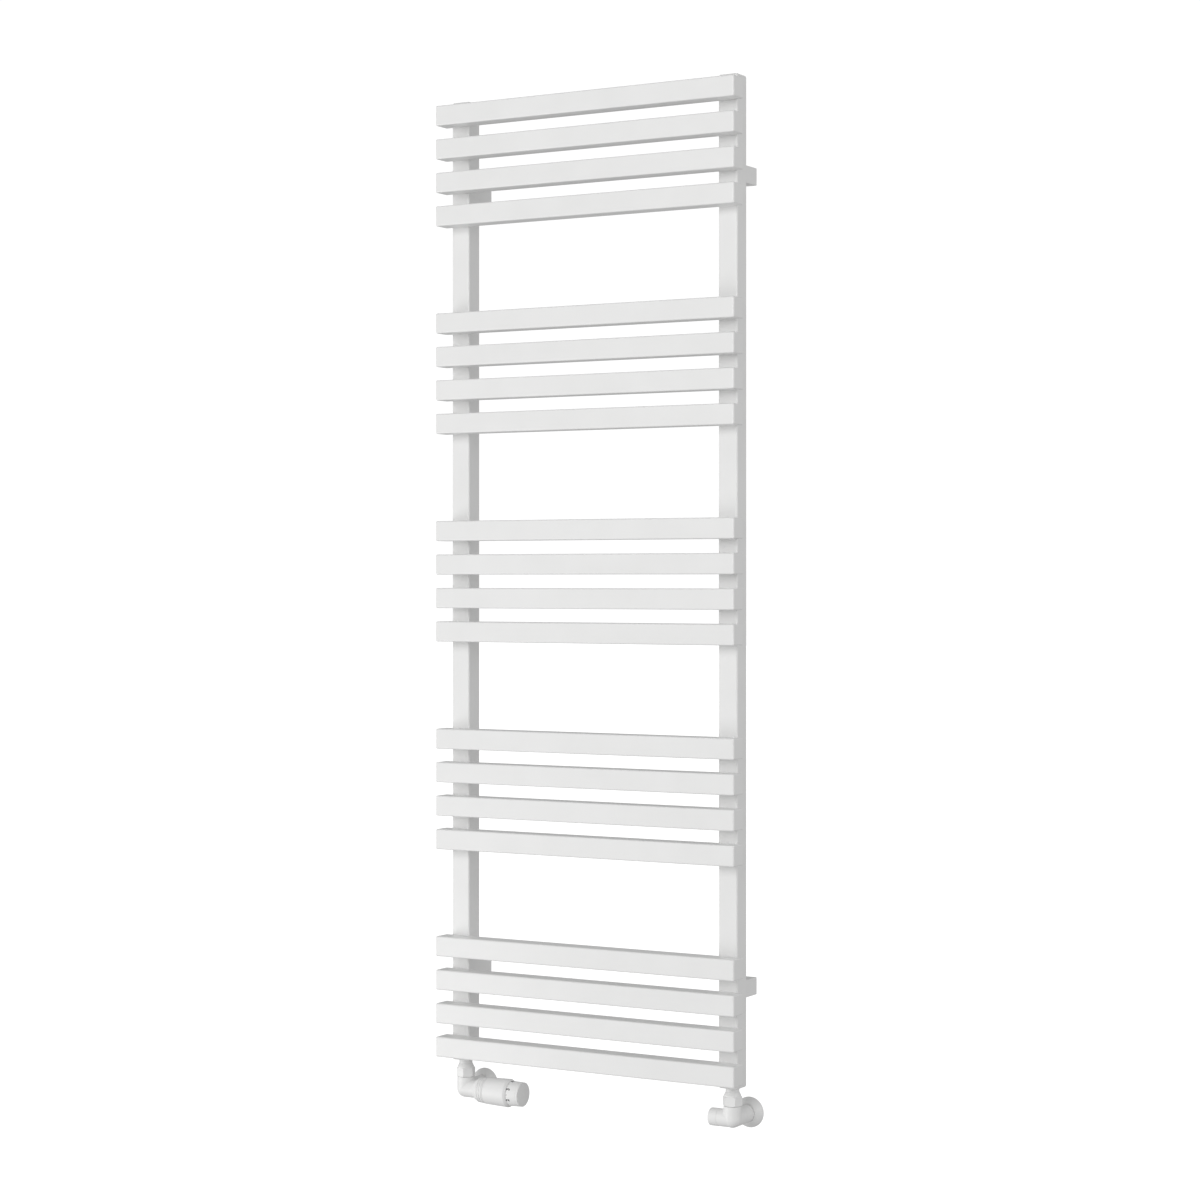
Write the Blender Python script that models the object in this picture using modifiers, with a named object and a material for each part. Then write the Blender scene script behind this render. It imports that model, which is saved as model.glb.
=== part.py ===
"""Ladder towel radiator on wall brackets, with a thermostatic valve and a lockshield valve.

Twenty square tubes lie across two upright square collectors. Each collector hangs on two wall
brackets and stands over a corner valve that turns the flow back into the wall.

Frame: metres, +Z up. The wall is the plane Y = 0 and the room is towards -Y. X = 0 is halfway
between the collectors, and Z = 0 is the height of the upper brackets.
"""
import bmesh
import bpy
from math import cos, pi, radians, sin

MM = 0.001
GAP = 0.3 * MM

# Panel
DEPTH = 100 * MM
TUBE = 30 * MM
TUBE_WALL = 1.5 * MM
BAR_LENGTH = 500 * MM
BAR_PITCH = 50 * MM
GROUP_PITCH = 310 * MM
GROUPS = 5
BARS_PER_GROUP = 4
TOP_BAR_Z = 115 * MM
COLLECTOR_X = 225 * MM
COLLECTOR_TOP = 138 * MM
COLLECTOR_BOTTOM = -1298 * MM
COLLECTOR_FRONT = -DEPTH + TUBE + GAP
COLLECTOR_BACK = -DEPTH + 2 * TUBE
CAP_THICKNESS = 3 * MM
FOOT_THICKNESS = 12 * MM
CORNER = 2 * MM
PORT_RADIUS = 6 * MM
PORT_SIDES = 8

# Wall brackets
BRACKET_WIDTH = 22 * MM
BRACKET_HEIGHT = 25 * MM
BRACKET_HEIGHTS = {"upper": 0.0, "lower": -1160 * MM}
STUD_RADIUS = 6 * MM
STUD_END = -12 * MM
SOCKET_END = -8 * MM
WALL_SCREW_HOLE = 2.75 * MM
GRUB_RADIUS = 2.5 * MM
GRUB_Y = -24 * MM

# Valves, both on one height below the collectors
VALVE_Y = -55 * MM
VALVE_Z = -1342 * MM
BRANCH_RADIUS = 13 * MM
NECK_RADIUS = 9.9 * MM
PIPE_RADIUS = 7.5 * MM
PIPE_BORE = 6.5 * MM
NUT_FLATS = 25 * MM
NUT_START = 18.6 * MM
NUT_END = 32.4 * MM
BRANCH_TOP = 18.2 * MM
NECK_TOP = 26.2 * MM
BRANCH_BACK = 21 * MM
NECK_BACK = 29 * MM
SLEEVE_BACK = 42 * MM
ROSETTE_RADIUS = 22 * MM

# Air vent, on the back of one collector
VENT_Z = 65 * MM
VENT_SHANK = 6 * MM

SMALL_STEPS = 16
HEAD_STEPS = 20

TOWARDS_WALL = (-pi / 2, 0, 0)
UP = (0, 0, 0)
DOWN = (pi, 0, 0)


def inward(side):
    """Rotation that lays a turned shape along X, towards the middle of the radiator."""
    return (0, side * pi / 2, 0)


def make_collection(name):
    collection = bpy.data.collections.new(name)
    bpy.context.scene.collection.children.link(collection)
    return collection


def make_material(name, colour, roughness, metallic=0.0):
    material = bpy.data.materials.new(name)
    material.use_nodes = True
    shader = material.node_tree.nodes["Principled BSDF"]
    shader.inputs["Base Color"].default_value = (*colour, 1)
    shader.inputs["Roughness"].default_value = roughness
    shader.inputs["Metallic"].default_value = metallic
    return material


FINISHES = {
    "white_paint": ((0.84, 0.84, 0.83), 0.35, 0.0),
    "white_plastic": ((0.83, 0.83, 0.82), 0.42, 0.0),
    "brass": ((0.72, 0.52, 0.24), 0.30, 1.0),
    "copper": ((0.80, 0.45, 0.32), 0.30, 1.0),
    "steel": ((0.62, 0.62, 0.64), 0.30, 1.0),
}

for old in list(bpy.data.objects):
    bpy.data.objects.remove(old)
parts = make_collection("radiator_with_valve")
cutters = make_collection("cutters")


def add_object(name, mesh, finish, location=(0, 0, 0), rotation=(0, 0, 0)):
    """One named node with a material of its own, or a hidden cutter where finish is None."""
    obj = bpy.data.objects.new(name, mesh)
    obj.location = location
    obj.rotation_euler = rotation
    if finish:
        parts.objects.link(obj)
        mesh.materials.append(make_material(name, *FINISHES[finish]))
    else:
        cutters.objects.link(obj)
        obj.hide_render = True
        obj.display_type = "WIRE"
    return obj


def box(name, low, high, finish=None, bevel=0.0, segments=1):
    """Box between two corners, with its edges bevelled if asked."""
    mesh = bpy.data.meshes.new(name)
    bm = bmesh.new()
    bmesh.ops.create_cube(bm, size=1)
    for vertex in bm.verts:
        vertex.co = [a + (b - a) * (c + 0.5) for a, b, c in zip(low, high, vertex.co)]
    bm.to_mesh(mesh)
    bm.free()
    obj = add_object(name, mesh, finish)
    if bevel:
        modifier = obj.modifiers.new("edges", "BEVEL")
        modifier.width = bevel
        modifier.segments = segments
    return obj


def turned(name, outline, finish=None, location=(0, 0, 0), rotation=UP, steps=SMALL_STEPS):
    """Turn an outline of (radius, height) points in mm about local Z.

    The outline runs down its outer side. One that starts or ends off the axis is a ring, and
    its last point joins its first.
    """
    points = [(radius * MM, 0, height * MM) for radius, height in outline]
    edges = [(i, i + 1) for i in range(len(points) - 1)]
    if outline[0][0] > 0:
        edges.append((len(points) - 1, 0))
    mesh = bpy.data.meshes.new(name)
    mesh.from_pydata(points, edges, [])
    obj = add_object(name, mesh, finish, location, rotation)
    screw = obj.modifiers.new("turn", "SCREW")
    screw.steps = screw.render_steps = steps
    screw.use_merge_vertices = True
    screw.merge_threshold = 0.00001
    screw.use_smooth_shade = False
    return obj


def rod(name, radius, start, end, finish=None, location=(0, 0, 0), rotation=UP, steps=SMALL_STEPS):
    """Plain round rod along local Z, with start, end and radius in mm."""
    outline = [(0, end), (radius, end), (radius, start), (0, start)]
    return turned(name, outline, finish, location, rotation, steps)


def hexagon(name, across_flats, start, end, finish=None, location=(0, 0, 0), rotation=UP):
    """Hexagonal prism along local Z, in mm."""
    return rod(name, across_flats / 2 / cos(pi / 6), start, end, finish, location, rotation, 6)


def change(obj, cutter, operation="DIFFERENCE"):
    modifier = obj.modifiers.new(cutter.name, "BOOLEAN")
    modifier.operation = operation
    modifier.solver = "EXACT"
    modifier.object = cutter


def join(obj, other):
    change(obj, other, "UNION")


def bar_heights():
    """Height of the middle of each bar, from the top down."""
    return [
        TOP_BAR_Z - group * GROUP_PITCH - place * BAR_PITCH
        for group in range(GROUPS)
        for place in range(BARS_PER_GROUP)
    ]


def port(name, x, z, depth_from, depth_to, radius=PORT_RADIUS, sides=PORT_SIDES):
    """Round cutter along Y."""
    start, end = depth_from / MM, depth_to / MM
    return rod(name, radius / MM, start, end, None, (x, 0, z), TOWARDS_WALL, sides)


def make_bar(index, height):
    """Square tube with closed ends and a port into each collector."""
    name = f"bar_{index:02d}"
    half, front = BAR_LENGTH / 2, -DEPTH
    low = (-half, front, height - TUBE / 2)
    high = (half, front + TUBE, height + TUBE / 2)
    bar = box(name, low, high, "white_paint", CORNER)
    inner_low = [value + TUBE_WALL for value in low]
    inner_high = [value - TUBE_WALL for value in high]
    change(bar, box(f"{name}_bore", inner_low, inner_high))
    for side in (-1, 1):
        back = front + TUBE
        cutter = port(f"{name}_port_{side}", side * COLLECTOR_X, height, back - 2 * TUBE_WALL, back + TUBE_WALL)
        change(bar, cutter)


def make_collector(name, side):
    """Upright square tube with a port to each bar, a threaded foot and two welded studs."""
    x, half = side * COLLECTOR_X, TUBE / 2
    low = (x - half, COLLECTOR_FRONT, COLLECTOR_BOTTOM)
    high = (x + half, COLLECTOR_BACK, COLLECTOR_TOP)
    collector = box(name, low, high, "white_paint", CORNER, 2)
    for place, height in BRACKET_HEIGHTS.items():
        start, end = (COLLECTOR_BACK - TUBE_WALL / 2) / MM, STUD_END / MM
        at = (x, 0, height)
        stud = rod(f"{name}_stud_{place}", STUD_RADIUS / MM, start, end, None, at, TOWARDS_WALL)
        join(collector, stud)
    inner_low = (low[0] + TUBE_WALL, low[1] + TUBE_WALL, COLLECTOR_BOTTOM + FOOT_THICKNESS)
    inner_high = (high[0] - TUBE_WALL, high[1] - TUBE_WALL, COLLECTOR_TOP - CAP_THICKNESS)
    change(collector, box(f"{name}_bore", inner_low, inner_high))
    for index, height in enumerate(bar_heights()):
        cutter = port(f"{name}_port_{index}", x, height, low[1] - TUBE_WALL, low[1] + 2 * TUBE_WALL)
        change(collector, cutter)
    foot = (x, VALVE_Y, VALVE_Z)
    change(collector, rod(f"{name}_foot", 9.3, 40, 60, None, foot))
    return collector


def make_vent():
    """Bleed plug in the back of the left collector, with the small screw that opens it."""
    at = (-COLLECTOR_X, COLLECTOR_BACK, VENT_Z)
    hole = port("vent_hole", at[0], at[2], COLLECTOR_BACK - 2 * TUBE_WALL, COLLECTOR_BACK + TUBE_WALL,
                VENT_SHANK + GAP, SMALL_STEPS)
    change(bpy.data.objects["collector_left"], hole)
    shank = VENT_SHANK / MM
    plug = rod("vent_plug", shank, -12, 5, "brass", at, TOWARDS_WALL)
    join(plug, hexagon("vent_head", 17, 0.3, 9, None, at, TOWARDS_WALL))
    change(plug, rod("vent_bore", 2.8, -9, 10, None, at, TOWARDS_WALL, 12))
    change(plug, rod("vent_seat", 1.2, -13, -8, None, at, TOWARDS_WALL, 8))
    screw = rod("vent_screw", 2.5, -8.7, 10, "steel", at, TOWARDS_WALL, 12)
    join(screw, rod("vent_square", 3.2, 9.4, 12, None, at, TOWARDS_WALL, 4))


def make_bracket(name, x, height):
    """Block that sits on the wall, takes the collector's stud and clamps it from below."""
    low = (x - BRACKET_WIDTH / 2, COLLECTOR_BACK + GAP, height - BRACKET_HEIGHT / 2)
    high = (x + BRACKET_WIDTH / 2, 0, height + BRACKET_HEIGHT / 2)
    block = box(f"{name}_block", low, high, "white_paint", 1 * MM)
    change(block, port(f"{name}_socket", x, height, low[1] - MM, SOCKET_END, STUD_RADIUS + GAP, SMALL_STEPS))
    change(block, port(f"{name}_hole", x, height, SOCKET_END - MM, MM, WALL_SCREW_HOLE, 12))
    at = (x, GRUB_Y, height)
    edge, stud = BRACKET_HEIGHT / 2 / MM, STUD_RADIUS / MM
    grub = GRUB_RADIUS / MM
    change(block, rod(f"{name}_thread", grub + 0.3, stud - 0.5, edge + 1, None, at, DOWN, 12))
    screw = rod(f"{name}_grub_screw", grub, stud + 0.3, edge - 0.5, "steel", at, DOWN, 12)
    change(screw, hexagon(f"{name}_key", 2.5, edge - 3, edge, None, at, DOWN))


def valve_body(name, at, side, stub_radius, stub_end, neck_radius, neck_end):
    """Corner body: three round branches that meet at the valve's centre."""
    branch, neck = BRANCH_RADIUS / MM, NECK_RADIUS / MM
    sphere_mesh = bpy.data.meshes.new(name)
    bm = bmesh.new()
    bmesh.ops.create_uvsphere(bm, u_segments=SMALL_STEPS, v_segments=8, radius=BRANCH_RADIUS - 0.1 * MM)
    bm.to_mesh(sphere_mesh)
    bm.free()
    body = add_object(name, sphere_mesh, "white_paint", at)
    branches = {
        "up": (UP, branch, BRANCH_TOP / MM, neck, NECK_TOP / MM),
        "back": (TOWARDS_WALL, branch, BRANCH_BACK / MM, neck, NECK_BACK / MM),
        "in": (inward(side), stub_radius, stub_end, neck_radius, neck_end),
    }
    for place, (rotation, wide, wide_end, narrow, narrow_end) in branches.items():
        outline = [(0, narrow_end), (narrow, narrow_end), (narrow, wide_end), (wide, wide_end), (wide, 1), (0, 1)]
        join(body, turned(f"{name}_{place}", outline, None, at, rotation))
    return body


def cut_waterway(body, at, side, seat, chamber_radius, neck_end):
    """Way from the pipe through a side hole into the chamber, and past the seat up to the tail."""
    x, y, z = at
    name = body.name
    lie = inward(side)
    change(body, rod(f"{name}_chamber", chamber_radius, seat, neck_end + 1, None, at, lie))
    change(body, rod(f"{name}_seat", 4, -2, seat + 1, None, at, lie))
    outlet = (x - side * 1.5 * MM, y, z)
    change(body, rod(f"{name}_outlet", 4.5, -2, 30, None, outlet, UP))
    change(body, rod(f"{name}_inlet", 7.8, 18, 30, None, at, TOWARDS_WALL))
    passage = (x + side * 7 * MM, y, z)
    change(body, rod(f"{name}_passage", 2.6, 2, 19, None, passage, TOWARDS_WALL, 10))


def valve_fittings(prefix, water, at, turn):
    """Tail and union nut up to the collector; sleeve nut, olive, pipe and rosette to the wall."""
    tail = [(9, 54), (9, 43.7), (9.8, 43.7), (9.8, 38.3), (8.2, 38.3), (8.2, 29.2), (9.9, 29.2), (9.9, 26.5),
            (5.5, 26.5), (5.5, 54)]
    turned(f"{prefix}_tail", tail, "white_paint", at)
    flats, start, end = NUT_FLATS / MM, NUT_START / MM, NUT_END / MM
    nut = hexagon(f"{prefix}_union_nut", flats, start, end, "white_paint", at, (0, 0, turn))
    shoulder = [(0, 38), (10.8, 38), (11.3, 36.4), (12.4, 34.6), (12.4, 25), (0, 25)]
    join(nut, turned(f"{prefix}_nut_shoulder", shoulder, None, at, UP, 24))
    bore = [(0, 39), (8.5, 39), (8.5, 29.5), (10.2, 29.5), (10.2, 17), (0, 17)]
    change(nut, turned(f"{prefix}_nut_bore", bore, None, at))

    wide = BRANCH_RADIUS / MM
    sleeve_nut = [(7.8, 42), (wide - 0.6, 42), (wide, 41.4), (wide, 21.3), (10.2, 21.3), (10.2, 35.5), (7.8, 37.5)]
    turned(f"{prefix}_sleeve_nut", sleeve_nut, "white_paint", at, TOWARDS_WALL)
    olive = [(7.8, 35), (8.6, 35), (9.6, 33.2), (9.6, 31.2), (8.8, 29.4), (7.8, 29.4)]
    turned(f"{prefix}_olive", olive, "brass", at, TOWARDS_WALL)
    outer, inner, wall = PIPE_RADIUS / MM, PIPE_BORE / MM, -VALVE_Y / MM
    pipe = [(outer, wall), (outer, 18.3), (inner, 18.3), (inner, wall)]
    turned(f"{water}_pipe", pipe, "copper", at, TOWARDS_WALL)
    rim = ROSETTE_RADIUS / MM
    rosette = [(rim, wall), (rim, wall - 1.5), (rim - 1, wall - 4), (16.5, wall - 10.4), (15.6, wall - 11.6),
               (14.3, wall - 12.2), (7.8, wall - 12.4), (7.8, wall - 11.2), (12.8, wall - 11.2),
               (14.5, wall - 6.5), (17.5, wall - 1.5), (20, wall)]
    turned(f"{water}_rosette", rosette, "white_paint", at, TOWARDS_WALL, HEAD_STEPS)


def make_spring(name, at, side, start, end, radius, wire, turns):
    """Coil along the spindle, as a bevelled line."""
    curve = bpy.data.curves.new(name, "CURVE")
    curve.dimensions = "3D"
    curve.bevel_depth = wire
    curve.bevel_resolution = 1
    curve.use_fill_caps = True
    per_turn = 10
    spline = curve.splines.new("POLY")
    spline.points.add(turns * per_turn)
    for index, point in enumerate(spline.points):
        share = index / (turns * per_turn)
        angle = 2 * pi * turns * share
        along = start + (end - start) * share
        point.co = (radius * cos(angle), radius * sin(angle), along, 1)
    add_object(name, curve, "steel", at, inward(side))


def make_thermostatic_valve():
    """Valve on the left, whose head points inward: a dial drives the sensor, and that the disc."""
    side = 1
    at = (-COLLECTOR_X, VALVE_Y, VALVE_Z)
    lie = inward(side)
    body = valve_body("trv_body", at, side, BRANCH_RADIUS / MM, 19.7, NECK_RADIUS / MM, 28)
    cut_waterway(body, at, side, 4, 8.8, 28)
    valve_fittings("trv", "supply", at, radians(46))

    insert = [(9.7, 29.8), (9.7, 28.3), (8.5, 28.3), (8.5, 9.8), (7.2, 9.8), (7.2, 12), (2.3, 12), (2.3, 14),
              (5.2, 14), (5.2, 26), (6, 26), (6, 29.8)]
    turned("trv_insert", insert, "brass", at, lie)
    turned("trv_gland", [(5.7, 29.8), (5.7, 26.3), (2.3, 26.3), (2.3, 29.8)], "brass", at, lie)
    spindle = [(0, 31.5), (2, 31.5), (2, 23), (4.6, 23), (4.6, 21.5), (2, 21.5), (2, 7.5), (6.5, 7.5), (6.5, 5.5),
               (0, 5.5)]
    turned("trv_spindle", spindle, "steel", at, lie)
    make_spring("trv_spring", at, side, 14.8 * MM, 20.7 * MM, 3.5 * MM, 0.4 * MM, 4)

    collar = [(13.4, 20.1), (10.2, 20.1), (10.2, 30), (13.3, 30), (13.3, 39.7), (19.4, 39.7), (19.4, 38.6)]
    for ridge in range(3):
        radius, start = 19.1 - 0.35 * ridge, 34.7 - 3.9 * ridge
        collar += [(radius - 0.5, start + 3.6), (radius - 0.5, start + 2.9), (radius, start + 2.6), (radius, start)]
    collar += [(15.3, 21)]
    turned("head_collar", collar, "white_plastic", at, lie, HEAD_STEPS)
    carrier = [(15.7, 84), (15.7, 42), (13, 42), (13, 30.3), (3.3, 30.3), (3.3, 32), (12.3, 32), (12.3, 84)]
    turned("head_carrier", carrier, "white_plastic", at, lie, HEAD_STEPS)
    sleeve = [(18.8, 81), (20.9, 77.3), (19.6, 40), (13.3, 40), (13.3, 41.7), (17.9, 41.7), (19, 76), (18, 79),
              (18, 81)]
    turned("head_sleeve", sleeve, "white_plastic", at, lie, HEAD_STEPS)
    dial = [(18, 97), (18.5, 81.4), (17.6, 81.4), (17.6, 76), (16, 76), (16, 97)]
    turned("head_dial", dial, "white_plastic", at, lie, HEAD_STEPS)
    cap = [(0, 103), (8.5, 102.6), (15, 101.7), (17, 100.9), (17.9, 99.4), (18, 97.3), (15.7, 97.3), (15.7, 90),
           (14.2, 90), (14.2, 97.3), (0, 97.3)]
    turned("head_cap", cap, "white_plastic", at, lie, HEAD_STEPS)
    sensor = [(0, 93), (11, 93), (12, 92), (12, 47), (9, 45), (9, 40.3), (0, 40.3)]
    turned("head_sensor", sensor, "steel", at, lie)
    plunger = [(0, 40), (7, 40), (7, 38.4), (3, 38.4), (3, 31.8), (0, 31.8)]
    turned("head_plunger", plunger, "brass", at, lie)


def make_lockshield_valve():
    """Valve on the right: a screw under a pull-off cap sets how far its disc stands open."""
    side = -1
    at = (COLLECTOR_X, VALVE_Y, VALVE_Z)
    lie = inward(side)
    body = valve_body("lock_body", at, side, 12.6, 20.7, 9.5, 31)
    cut_waterway(body, at, side, 4, 5.3, 18)
    flange_seat = [(0, 32), (7.3, 32), (7.3, 18.7), (0, 18.7)]
    change(body, turned("lock_body_flange_seat", flange_seat, None, at, lie))
    valve_fittings("lock", "return", at, radians(12))

    disc = [(0, 9.5), (2.8, 9.5), (2.8, 15.5), (5, 15.5), (5, 8.3), (4.4, 7.5), (0, 7.5)]
    turned("lock_disc", disc, "brass", at, lie)
    spindle = [(0, 28.5), (3.5, 28.5), (3.5, 21), (7, 21), (7, 19), (2.5, 19), (2.5, 11.3), (0, 11.3)]
    spindle_body = turned("lock_spindle", spindle, "brass", at, lie)
    change(spindle_body, hexagon("lock_key", 4, 25, 29, None, at, lie))
    cap = [(0, 34.5), (10.9, 34.4), (12.2, 33.7), (12.7, 32.3), (12.7, 21), (9.8, 21), (9.8, 31.5), (0, 31.5)]
    turned("lock_cap", cap, "white_plastic", at, lie)


for number, bar_height in enumerate(bar_heights(), start=1):
    make_bar(number, bar_height)
for collector_name, collector_side in (("collector_left", -1), ("collector_right", 1)):
    make_collector(collector_name, collector_side)
for side_name, side_x in (("left", -COLLECTOR_X), ("right", COLLECTOR_X)):
    for level, bracket_height in BRACKET_HEIGHTS.items():
        make_bracket(f"bracket_{level}_{side_name}", side_x, bracket_height)
make_vent()
make_thermostatic_valve()
make_lockshield_valve()
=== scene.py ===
"""Ladder towel radiator with a thermostatic valve and a lockshield valve, ready to look at.

Metres, +Z up. The wall is the plane Y = 0, the room is towards -Y, X = 0 is halfway between the
uprights and Z = 0 is the height of the upper brackets.
"""
from math import cos, pi, radians, sin

import bmesh
import bpy
import numpy as np
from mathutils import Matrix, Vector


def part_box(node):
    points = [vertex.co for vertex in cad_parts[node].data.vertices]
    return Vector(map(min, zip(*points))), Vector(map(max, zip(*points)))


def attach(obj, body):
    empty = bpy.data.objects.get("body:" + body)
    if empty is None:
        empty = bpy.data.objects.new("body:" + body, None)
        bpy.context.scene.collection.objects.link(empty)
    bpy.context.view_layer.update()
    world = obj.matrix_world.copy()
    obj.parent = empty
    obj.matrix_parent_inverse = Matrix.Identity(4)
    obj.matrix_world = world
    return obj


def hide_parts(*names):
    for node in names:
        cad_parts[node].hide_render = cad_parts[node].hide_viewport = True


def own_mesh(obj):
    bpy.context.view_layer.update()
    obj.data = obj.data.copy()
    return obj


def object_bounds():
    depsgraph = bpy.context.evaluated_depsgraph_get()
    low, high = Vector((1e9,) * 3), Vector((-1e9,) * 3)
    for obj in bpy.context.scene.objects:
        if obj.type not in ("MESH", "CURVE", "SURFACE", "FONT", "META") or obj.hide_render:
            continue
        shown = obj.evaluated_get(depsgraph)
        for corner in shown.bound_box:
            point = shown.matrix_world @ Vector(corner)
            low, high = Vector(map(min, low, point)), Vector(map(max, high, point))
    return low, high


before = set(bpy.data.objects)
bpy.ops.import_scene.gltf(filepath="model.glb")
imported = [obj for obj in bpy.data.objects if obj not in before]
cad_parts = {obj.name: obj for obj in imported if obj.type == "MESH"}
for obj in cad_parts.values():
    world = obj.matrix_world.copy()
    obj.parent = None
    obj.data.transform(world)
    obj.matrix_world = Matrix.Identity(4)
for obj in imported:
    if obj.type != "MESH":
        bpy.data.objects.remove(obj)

built_box = [list(corner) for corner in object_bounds()]
MM = 0.001


# ---- Camera ----
# A long lens at the middle of the radiator's height, 30 degrees round to its right, held level.
# The small vertical shift puts the horizon a little above the middle of the frame.
CAMERA_PLACE = (1.94303, -3.40189, -0.57681)
CAMERA_TURN = radians(30.037)

lens = bpy.data.cameras.new("camera")
lens.sensor_width = 36
lens.lens = 79.464
lens.shift_y = -0.01738
lens.clip_end = 100
camera = bpy.data.objects.new("camera", lens)
camera.location = CAMERA_PLACE
camera.rotation_euler = (pi / 2, 0, CAMERA_TURN)
bpy.context.scene.collection.objects.link(camera)
bpy.context.scene.camera = camera


# ---- Studio ----
# An even white room with a pale floor below the radiator, and three broad round lights: one in
# front, one from the right for the ends of the bars, and one low on the left for the undersides.
FLOOR_DROP = 0.15
FLOOR_SIZE = 60
ROOM_LIGHT = 0.43
ROOM_SEEN = 1.05
LIGHT_WIDTH = 3.0
LIGHT_DISTANCE = 5.0
LIT_POINT = (0, -0.05, -0.6)


def light_room(strength):
    """White for the eye, and a softer even light on everything else."""
    world = bpy.data.worlds.new("room")
    world.use_nodes = True
    bpy.context.scene.world = world
    tree = world.node_tree
    room = tree.nodes["Background"]
    room.inputs["Color"].default_value = (1, 1, 1, 1)
    room.inputs["Strength"].default_value = strength
    white = tree.nodes.new("ShaderNodeBackground")
    white.inputs["Color"].default_value = (1, 1, 1, 1)
    white.inputs["Strength"].default_value = ROOM_SEEN
    path = tree.nodes.new("ShaderNodeLightPath")
    mix = tree.nodes.new("ShaderNodeMixShader")
    tree.links.new(path.outputs["Is Camera Ray"], mix.inputs[0])
    tree.links.new(room.outputs[0], mix.inputs[1])
    tree.links.new(white.outputs[0], mix.inputs[2])
    tree.links.new(mix.outputs[0], tree.nodes["World Output"].inputs["Surface"])


def soft_light(name, azimuth, elevation, power):
    """Round light that faces the radiator from an azimuth, 0 in front and 90 on the right."""
    lamp = bpy.data.lights.new(name, "AREA")
    lamp.shape = "DISK"
    lamp.size = LIGHT_WIDTH
    lamp.energy = power
    made = bpy.data.objects.new(name, lamp)
    round_by, up_by = radians(azimuth), radians(elevation)
    outward = np.array([sin(round_by) * cos(up_by), -cos(round_by) * cos(up_by), sin(up_by)])
    made.location = np.array(LIT_POINT) + LIGHT_DISTANCE * outward
    made.rotation_euler = (pi / 2 - up_by, 0, round_by)
    bpy.context.scene.collection.objects.link(made)


light_room(ROOM_LIGHT)
soft_light("front", 0, 15, 100)
soft_light("right", 90, 10, 54)
soft_light("low_left", -50, -20, 76)
bpy.context.scene.view_settings.view_transform = "Standard"


# ---- Finishes ----
# How every surface below is described: a material is grown from its shader by adding nodes, and
# a sum on a node's output adds the Math nodes that work it out.
class Link:
    """A node's output. Sums and products of it add Math nodes."""

    def __init__(self, finish, socket):
        self.finish, self.socket = finish, socket

    def maths(self, operation, first, second):
        return self.finish.node("ShaderNodeMath", {"operation": operation}, {0: first, 1: second})

    def __add__(self, other):
        return self.maths("ADD", self, other)

    def __radd__(self, other):
        return self.maths("ADD", other, self)

    def __mul__(self, other):
        return self.maths("MULTIPLY", self, other)

    def __rmul__(self, other):
        return self.maths("MULTIPLY", other, self)


class Finish:
    """One material, with a single way to add any node to it."""

    def __init__(self, name, metallic=0.0, coat=0.0):
        self.material = bpy.data.materials.new(name)
        self.material.use_nodes = True
        self.tree = self.material.node_tree
        self.shader = self.tree.nodes["Principled BSDF"]
        self.shader.inputs["Metallic"].default_value = metallic
        self.shader.inputs["Coat Weight"].default_value = coat
        self.shader.inputs["Coat Roughness"].default_value = 0.12

    def node(self, kind, settings=(), sockets=(), output=0):
        made = self.tree.nodes.new(kind)
        for key, value in dict(settings).items():
            if key == "stops":
                for element, (place, colour) in zip(made.color_ramp.elements, value):
                    element.position, element.color = place, (*colour, 1)
            else:
                setattr(made, key, value)
        for key, value in dict(sockets).items():
            self.put(made.inputs[key], value)
        return Link(self, made.outputs[output])

    def put(self, socket, value):
        if isinstance(value, Link):
            self.tree.links.new(value.socket, socket)
        else:
            socket.default_value = value

    def place(self):
        return self.node("ShaderNodeTexCoord", output="Object")

    def noise(self, size, detail=2.0, stretch=(1, 1, 1)):
        """Noise from 0 to 1 whose blotches are about size across, drawn out along an axis by stretch."""
        scaled = self.node("ShaderNodeMapping", {}, {"Vector": self.place(), "Scale": stretch})
        sockets = {"Vector": scaled, "Scale": 1 / size, "Detail": detail}
        return self.node("ShaderNodeTexNoise", {}, sockets)

    def colour_between(self, share, dark, light):
        ramp = {"stops": ((0.3, dark), (0.7, light))}
        self.put(self.shader.inputs["Base Color"], self.node("ShaderNodeValToRGB", ramp, {"Fac": share}))

    def roughness(self, value):
        self.put(self.shader.inputs["Roughness"], value)

    def bump(self, height, depth):
        sockets = {"Height": height, "Distance": depth, "Strength": 1.0}
        self.put(self.shader.inputs["Normal"], self.node("ShaderNodeBump", {}, sockets))


def powder_coat():
    """White powder on steel: fine orange peel, a slow change of thickness, and small grains."""
    coat = Finish("powder_coat", coat=0.25)
    peel = coat.noise(1.6 * MM, 1.5)
    grain = coat.noise(0.35 * MM, 1.0)
    thickness = coat.noise(60 * MM, 2.0)
    coat.colour_between(thickness, (0.800, 0.800, 0.795), (0.822, 0.822, 0.818))
    coat.roughness(0.34 + 0.10 * peel + 0.05 * thickness)
    coat.bump(peel * 0.8 + grain * 0.2, 0.05 * MM)
    return coat.material


# ---- Bars ----
# Twenty bars of square steel tube in five groups of four, sawn square, closed with a welded and
# ground end plate, and powder coated with the rest of the panel after welding.
TUBE_CORNER = 2.2 * MM
BAR_END_ROUND = 2.0 * MM
EDGE_MARGIN = 0.5 * MM
LEAST_CORNER = 0.3 * MM
ROUND_STEPS = 6
SHARP_ANGLE = radians(32)


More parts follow.
